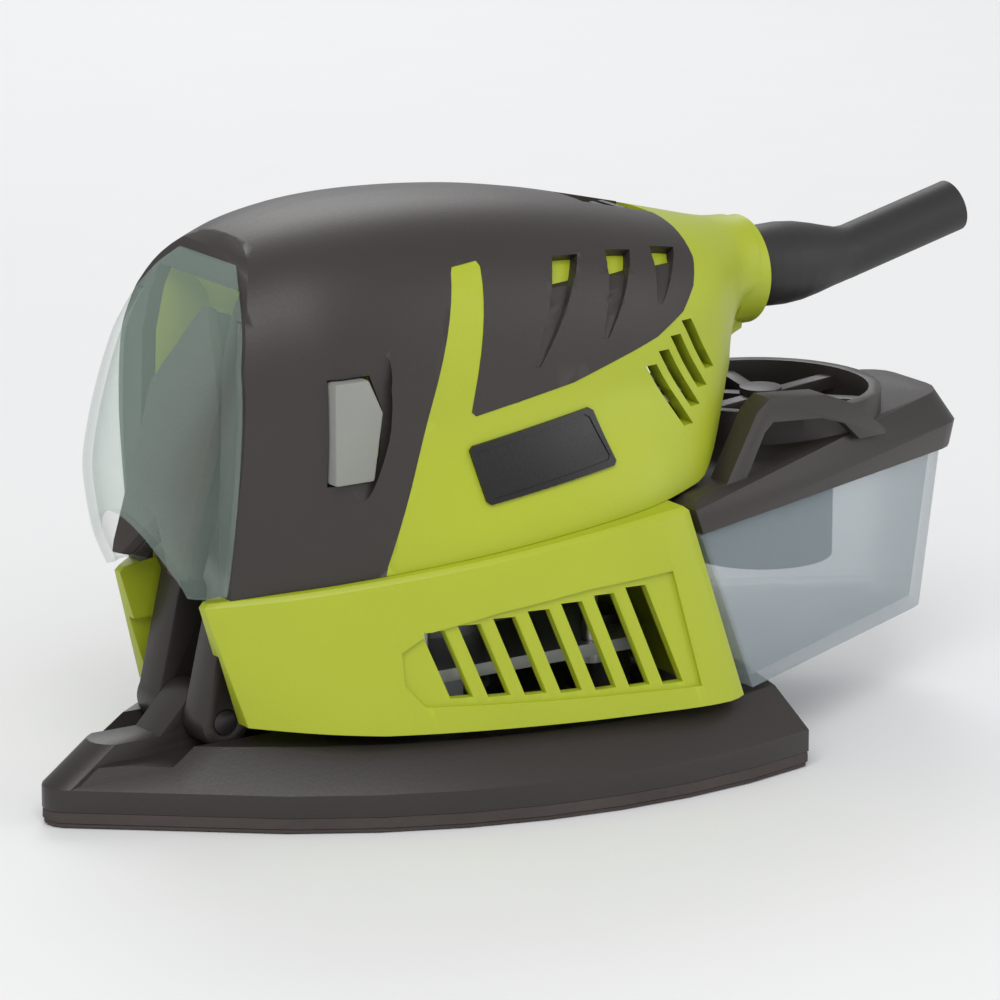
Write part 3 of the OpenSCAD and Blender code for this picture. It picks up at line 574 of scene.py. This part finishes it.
# %% Pad, finger and small parts
for node, name, slot, width in [("pad_plate", "pad_shoe", "charcoal_plastic", 0.5),
                                ("finger_arm", "folding_arm", "charcoal_plastic", 0.55),
                                ("finger_plate", "finger_backing", "charcoal_plastic", 0.4),
                                ("button_left", "release_button_left", "grey_plastic", 0.8),
                                ("button_right", "release_button_right", "grey_plastic", 0.8),
                                ("power_slider", "power_slide_knob", "black_plastic", 0.25),
                                ("hinge_pin", "finger_hinge_pin", "pin_black", 0.3),
                                ("dust_bin", "clear_dust_bin", "clear_bin", 0.6)]:
    body = next(b for b, members in frame["record"]["behaviour"]["bodies"].items() if node in members)
    piece(name, soften(from_node(node), width), body, slot, [node])

# %% [markdown]
# The foam layers are full and tight. Their walls are divided finely and pushed in and out a little
# by a fixed pattern of waves, because cut foam is never quite flat.

# %% Foam
SHORTEST, DEPTH, CUTS = 3.6, 0.18, 8
def foam_layer(node, name, body):
    """A foam slab with rounded edges and an uneven cut wall, inside the frame node's box."""
    bm = soften(from_node(node), 0.35)
    long_edges = [e for e in bm.edges if e.calc_length() > SHORTEST and len(e.link_faces) == 2]
    bmesh.ops.subdivide_edges(bm, edges=long_edges, cuts=CUTS, use_grid_fill=True)
    bmesh.ops.triangulate(bm, faces=bm.faces[:])
    bm.normal_update()
    for vert in bm.verts:
        x, y, z = vert.co
        wave = 0.5 + 0.25 * (math.sin(2.3 * x + 1.7 * y) + math.sin(3.1 * y - 2.7 * z + 1.3 * x))
        vert.co -= vert.normal * DEPTH * wave * (abs(vert.normal.z) < 0.7)
    obj = piece(name, bm, body, "foam", [node])
    return obj

foam_layer("pad_foam", "pad_cushion", "pad")
foam_layer("finger_foam", "finger_cushion", "finger")
piece("loop_face", soften(from_node("hook_face"), 0.2), "pad", "foam", ["hook_face"])
piece("dust_box_lid", soften(from_node("dust_lid"), 0.35), "lid", "charcoal_plastic", ["dust_lid"], smooth=40.0)

# %% [markdown]
# The bend guard is a rubber bulb that necks down to a tube and turns up by fourteen degrees. Its rings
# turn a little at a time, so the bend has no crease.

# %% Bend guard
AXIS_Z, TILT, BEND_X = 89.8, math.radians(14), 102.0
def guard_tube(profile, start, end):
    """Rings along the bent centre line, from a table of distance and radius."""
    rings, place, steps = [], Vector((start, 0, AXIS_Z)), 120
    for i in range(steps + 1):
        s = start + (end - start) * i / steps
        turn = TILT * min(1.0, max(0.0, (s - BEND_X + 3) / 6))
        if i:
            place = place + Vector((math.cos(turn), 0, math.sin(turn))) * (end - start) / steps
        side, up = Vector((0, 1, 0)), Vector((-math.sin(turn), 0, math.cos(turn)))
        r = straight(profile, s)
        rings.append([place + (side * math.cos(a) + up * math.sin(a)) * r
                      for a in [math.tau * k / 56 for k in range(56)]])
    return loft(rings)
GUARD = [[64, 6.9], [77, 6.9], [77.4, 7.4], [79.5, 8.0], [82, 8.35], [86, 8.45], [90, 8.1], [94, 7.3], [98, 6.3],
         [101, 5.65], [104, 5.4], [131, 5.4]]
lead_hole = guard_tube([[60, 3.6], [140, 3.6]], 60, 138)
guard = carve(guard_tube(GUARD, 64, BEND_X + 28.5), ("DIFFERENCE", lead_hole))
piece("bend_guard", guard, "housing", "rubber", ["cord_guard"], smooth=40.0)

# %% Floor and finish
floor_mesh = bmesh.new()
bmesh.ops.create_grid(floor_mesh, x_segments=2, y_segments=2, size=6.0)
floor = as_object(floor_mesh, "floor")
floor.location.z = -0.0002
floor.data.materials.append(finish("floor_paper", (0.88, 0.88, 0.88), 0.9, 3.0, 0.02, 0.01))
